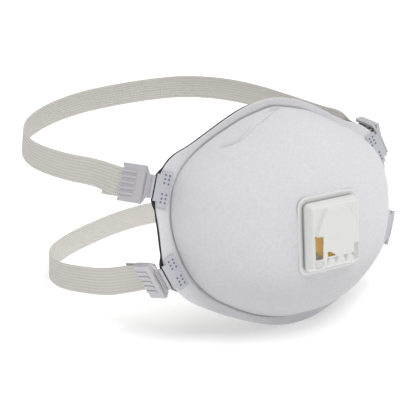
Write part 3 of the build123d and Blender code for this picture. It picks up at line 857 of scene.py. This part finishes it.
def plastic(name, color, rough=0.35, bump=0.03, coat=0.0, trans=0.0, ior=1.46, mottle=0.02, scale=900.0, sss=0.0, painted_shade=False, glow=None):
    mat = bpy.data.materials.new(name)
    nt, b = nodes_of(mat)
    co = add(nt, "ShaderNodeTexCoord")
    cloud = add(nt, "ShaderNodeTexNoise", Scale=120.0, Detail=2.0)
    ramp = add(nt, "ShaderNodeValToRGB")
    ramp.color_ramp.elements[0].color = [c * (1 - mottle) for c in color] + [1]
    ramp.color_ramp.elements[1].color = [min(1, c * (1 + mottle)) for c in color] + [1]
    fine = add(nt, "ShaderNodeTexNoise", Scale=scale, Detail=3.0, Roughness=0.6)
    bp = add(nt, "ShaderNodeBump", Strength=bump, Distance=0.0002)
    for n in (cloud, fine):
        nt.links.new(co.outputs["Object"], n.inputs["Vector"])
    nt.links.new(cloud.outputs["Fac"], ramp.inputs["Fac"])
    # painted shade: the base colour is multiplied by the shade stored on each point
    if painted_shade:
        at = add(nt, "ShaderNodeVertexColor")
        at.layer_name = "painted_shade"
        mul = add(nt, "ShaderNodeMix", data_type="RGBA", blend_type="MULTIPLY")
        mul.inputs[0].default_value = 1.0
        nt.links.new(ramp.outputs["Color"], mul.inputs[6])
        nt.links.new(at.outputs["Color"], mul.inputs[7])
        nt.links.new(mul.outputs[2], b.inputs["Base Color"])
    else:
        nt.links.new(ramp.outputs["Color"], b.inputs["Base Color"])
    # painted light: emission standing in for light let through the translucent cover
    if glow:
        b.inputs["Emission Color"].default_value = (*glow, 1)
        b.inputs["Emission Strength"].default_value = 1.0
    nt.links.new(fine.outputs["Fac"], bp.inputs["Height"])
    nt.links.new(bp.outputs["Normal"], b.inputs["Normal"])
    b.inputs["Roughness"].default_value = rough
    b.inputs["IOR"].default_value = ior
    if coat:
        b.inputs["Coat Weight"].default_value = coat
        b.inputs["Coat Roughness"].default_value = 0.2
    if trans:
        b.inputs["Transmission Weight"].default_value = trans
    if sss:
        b.inputs["Subsurface Weight"].default_value = sss
        b.inputs["Subsurface Radius"].default_value = (0.002, 0.002, 0.002)
        b.inputs["Subsurface Scale"].default_value = 1.0
    return mat


def braid(name, color):
    """Braided elastic: rows of slanted yarn crossings on the ribs, with painted shade darkening the grooves between
    them.
    """
    mat = bpy.data.materials.new(name)
    nt, b = nodes_of(mat)
    uv = add(nt, "ShaderNodeUVMap")
    sep = add(nt, "ShaderNodeSeparateXYZ")
    nt.links.new(uv.outputs["UV"], sep.inputs["Vector"])

    def math_node(op, a, c=None, val=None):
        n = add(nt, "ShaderNodeMath", operation=op)
        nt.links.new(a, n.inputs[0])
        if c is not None:
            nt.links.new(c, n.inputs[1])
        if val is not None:
            n.inputs[1].default_value = val
        return n.outputs[0]

    ribs = math_node("MULTIPLY", sep.outputs["Y"], val=9.0)
    along = math_node("MULTIPLY", sep.outputs["X"], val=14.0)
    # position in a rib, folded to 0..1..0
    tri = math_node("PINGPONG", ribs, val=0.5)
    slant = math_node("MULTIPLY", tri, val=1.2)
    yarn = math_node("ADD", along, slant)
    saw = math_node("PINGPONG", yarn, val=0.5)
    saw2 = math_node("MULTIPLY", saw, val=2.0)
    groove = math_node("MULTIPLY", tri, val=2.0)
    hgt = math_node("MULTIPLY", saw2, groove)
    noise = add(nt, "ShaderNodeTexNoise", Scale=220.0, Detail=3.0)
    nt.links.new(uv.outputs["UV"], noise.inputs["Vector"])
    ramp = add(nt, "ShaderNodeValToRGB")
    ramp.color_ramp.elements[0].color = [c * 0.84 for c in color] + [1]
    ramp.color_ramp.elements[1].color = [min(1, c * 1.04) for c in color] + [1]
    ramp.color_ramp.elements[0].position = 0.0
    ramp.color_ramp.elements[1].position = 0.45
    # painted shade: colour follows the bump height, darker down in the grooves
    nt.links.new(hgt, ramp.inputs["Fac"])
    nt.links.new(ramp.outputs["Color"], b.inputs["Base Color"])
    tot = math_node("ADD", hgt, math_node("MULTIPLY", noise.outputs["Fac"], val=0.35))
    bp = add(nt, "ShaderNodeBump", Strength=0.5, Distance=0.0003)
    nt.links.new(tot, bp.inputs["Height"])
    nt.links.new(bp.outputs["Normal"], b.inputs["Normal"])
    b.inputs["Roughness"].default_value = 0.82
    b.inputs["Sheen Weight"].default_value = 0.2
    return mat


# the cover web, valve cover and rim take painted shade from their points
M_WEB = cloth("cover_web", (0.665, 0.66, 0.685), fibre=1500.0, bump=0.22, mottle=0.035, painted_shade=True)
M_FILTER = cloth("filter_web", (0.85, 0.85, 0.85), fibre=1500.0, bump=0.3)
M_INNER = cloth("inner_web", (0.82, 0.82, 0.82), fibre=1800.0, bump=0.25)
M_SEAL = cloth("seal_foam", (0.022, 0.022, 0.024), rough=0.75, fibre=1400.0, bump=0.4, mottle=0.15, sheen=0.05)
M_CLIP = plastic("nose_clip_metal", (0.7, 0.7, 0.72), rough=0.35)
M_CLIP.node_tree.nodes["Principled BSDF"].inputs["Metallic"].default_value = 1.0
M_COVER = plastic("valve_cover_plastic", (0.70, 0.70, 0.685), rough=0.40, painted_shade=True)
M_RIM = plastic("valve_rim_plastic", (0.71, 0.715, 0.705), rough=0.42, painted_shade=True)
# seat and flap glow: painted light for light passing through the translucent valve cover
M_SEAT = plastic("valve_seat_plastic", (0.62, 0.59, 0.54), rough=0.5, glow=(0.10, 0.09, 0.08))
M_FLAP = plastic("valve_flap_rubber", (0.60, 0.42, 0.16), rough=0.45, glow=(0.26, 0.17, 0.05))
M_WELD = plastic("weld_plastic", (0.16, 0.175, 0.25), rough=0.45)
M_TAB = plastic("tab_plastic", (0.505, 0.51, 0.545), rough=0.4, mottle=0.06)
M_BUCKLE = plastic("buckle_plastic", (0.52, 0.51, 0.545), rough=0.33, coat=0.15, mottle=0.06)
M_STRAP = braid("braided_elastic", (0.665, 0.64, 0.595))

for ob, m in ((cup_outer, M_WEB), (cup_filter, M_FILTER), (cup_inner, M_INNER), (seal, M_SEAL), (strip, M_CLIP)):
    ob.data.materials.append(m)
for ob, *_ in ALL_STRAPS:
    ob.data.materials.append(M_STRAP)
for ob, C, end, reach, cor in ALL_STRAPS:
    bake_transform(ob)


def dress(node, mat):
    ob = frame["nodes"][node]
    ob.data.materials.clear()
    ob.data.materials.append(mat)
    return ob


cover.data.materials.append(M_COVER)
for ob in WELDS:
    ob.data.materials.append(M_WELD)


def soften(ob, width, segments=2):
    mod = ob.modifiers.new("soft_edges", "BEVEL")
    mod.width = width * MM
    mod.segments = segments
    mod.limit_method = "ANGLE"
    mod.angle_limit = math.radians(35)


dress("valve_seat", M_SEAT)
flap.data.materials.append(M_FLAP)
flange_piece.data.materials.append(M_RIM)
for c in CORNERS:
    soften(dress("tab_" + c, M_TAB), 0.18)
    soften(dress("buckle_" + c, M_BUCKLE), 0.28)

# ------------------------------------------------------------------ floor, light, camera
me = bpy.data.meshes.new("floor")
R = 6.0
me.from_pydata([(-R, -R, 0), (R, -R, 0), (R, R, 0), (-R, R, 0)], [], [(0, 1, 2, 3)])
floor = bpy.data.objects.new("floor", me)
bpy.context.scene.collection.objects.link(floor)
floor.location = (0, 0, -0.0003)
fm = bpy.data.materials.new("floor_paper")
nt, b = nodes_of(fm)
b.inputs["Base Color"].default_value = (0.93, 0.93, 0.93, 1)
b.inputs["Roughness"].default_value = 0.9
b.inputs["Emission Color"].default_value = (1, 1, 1, 1)
b.inputs["Emission Strength"].default_value = 0.33
floor.data.materials.append(fm)

WORLD, SUN = 0.43, 2.0
world = bpy.data.worlds.new("studio")
bpy.context.scene.world = world
world.use_nodes = True
bg = world.node_tree.nodes["Background"]
bg.inputs["Color"].default_value = (1, 1, 1, 1)
bg.inputs["Strength"].default_value = WORLD


def sun(name, toward, strength, angle):
    li = bpy.data.lights.new(name, "SUN")
    li.energy = strength
    li.angle = math.radians(angle)
    ob = bpy.data.objects.new(name, li)
    bpy.context.scene.collection.objects.link(ob)
    ob.rotation_euler = (-Vector(toward)).to_track_quat("-Z", "Y").to_euler()
    return ob


sun("softbox_light", (0.12, -0.30, 1.0), SUN, 50)

scene = bpy.context.scene
scene.view_settings.view_transform = "Standard"
scene.view_settings.look = "None"
scene.view_settings.exposure = 0.0

AZ, EL, ROLL, DIST, SC, CX, CY = math.radians(-31.2), math.radians(19.1), math.radians(-0.1), 0.706, 1780.0, 277.5, 207.7
back = np.array([math.sin(AZ) * math.cos(EL), -math.cos(AZ) * math.cos(EL), math.sin(EL)])
right0 = np.array([math.cos(AZ), math.sin(AZ), 0.0])
up0 = np.cross(back, right0)
right = math.cos(ROLL) * right0 + math.sin(ROLL) * up0
up = -math.sin(ROLL) * right0 + math.cos(ROLL) * up0
eye = MID - right * ((CX - 200) / SC) + up * ((CY - 200) / SC) + back * DIST
cam_data = bpy.data.cameras.new("camera")
cam_data.sensor_width = 36.0
cam_data.lens = SC * DIST / 400 * 36.0
cam_data.clip_start = 0.01
cam_data.clip_end = 50
cam = bpy.data.objects.new("camera", cam_data)
scene.collection.objects.link(cam)
m = Matrix.Identity(4)
for i in range(3):
    m[i][0], m[i][1], m[i][2], m[i][3] = right[i], up[i], back[i], eye[i]
cam.matrix_world = m
scene.camera = cam

bpy.context.view_layer.update()
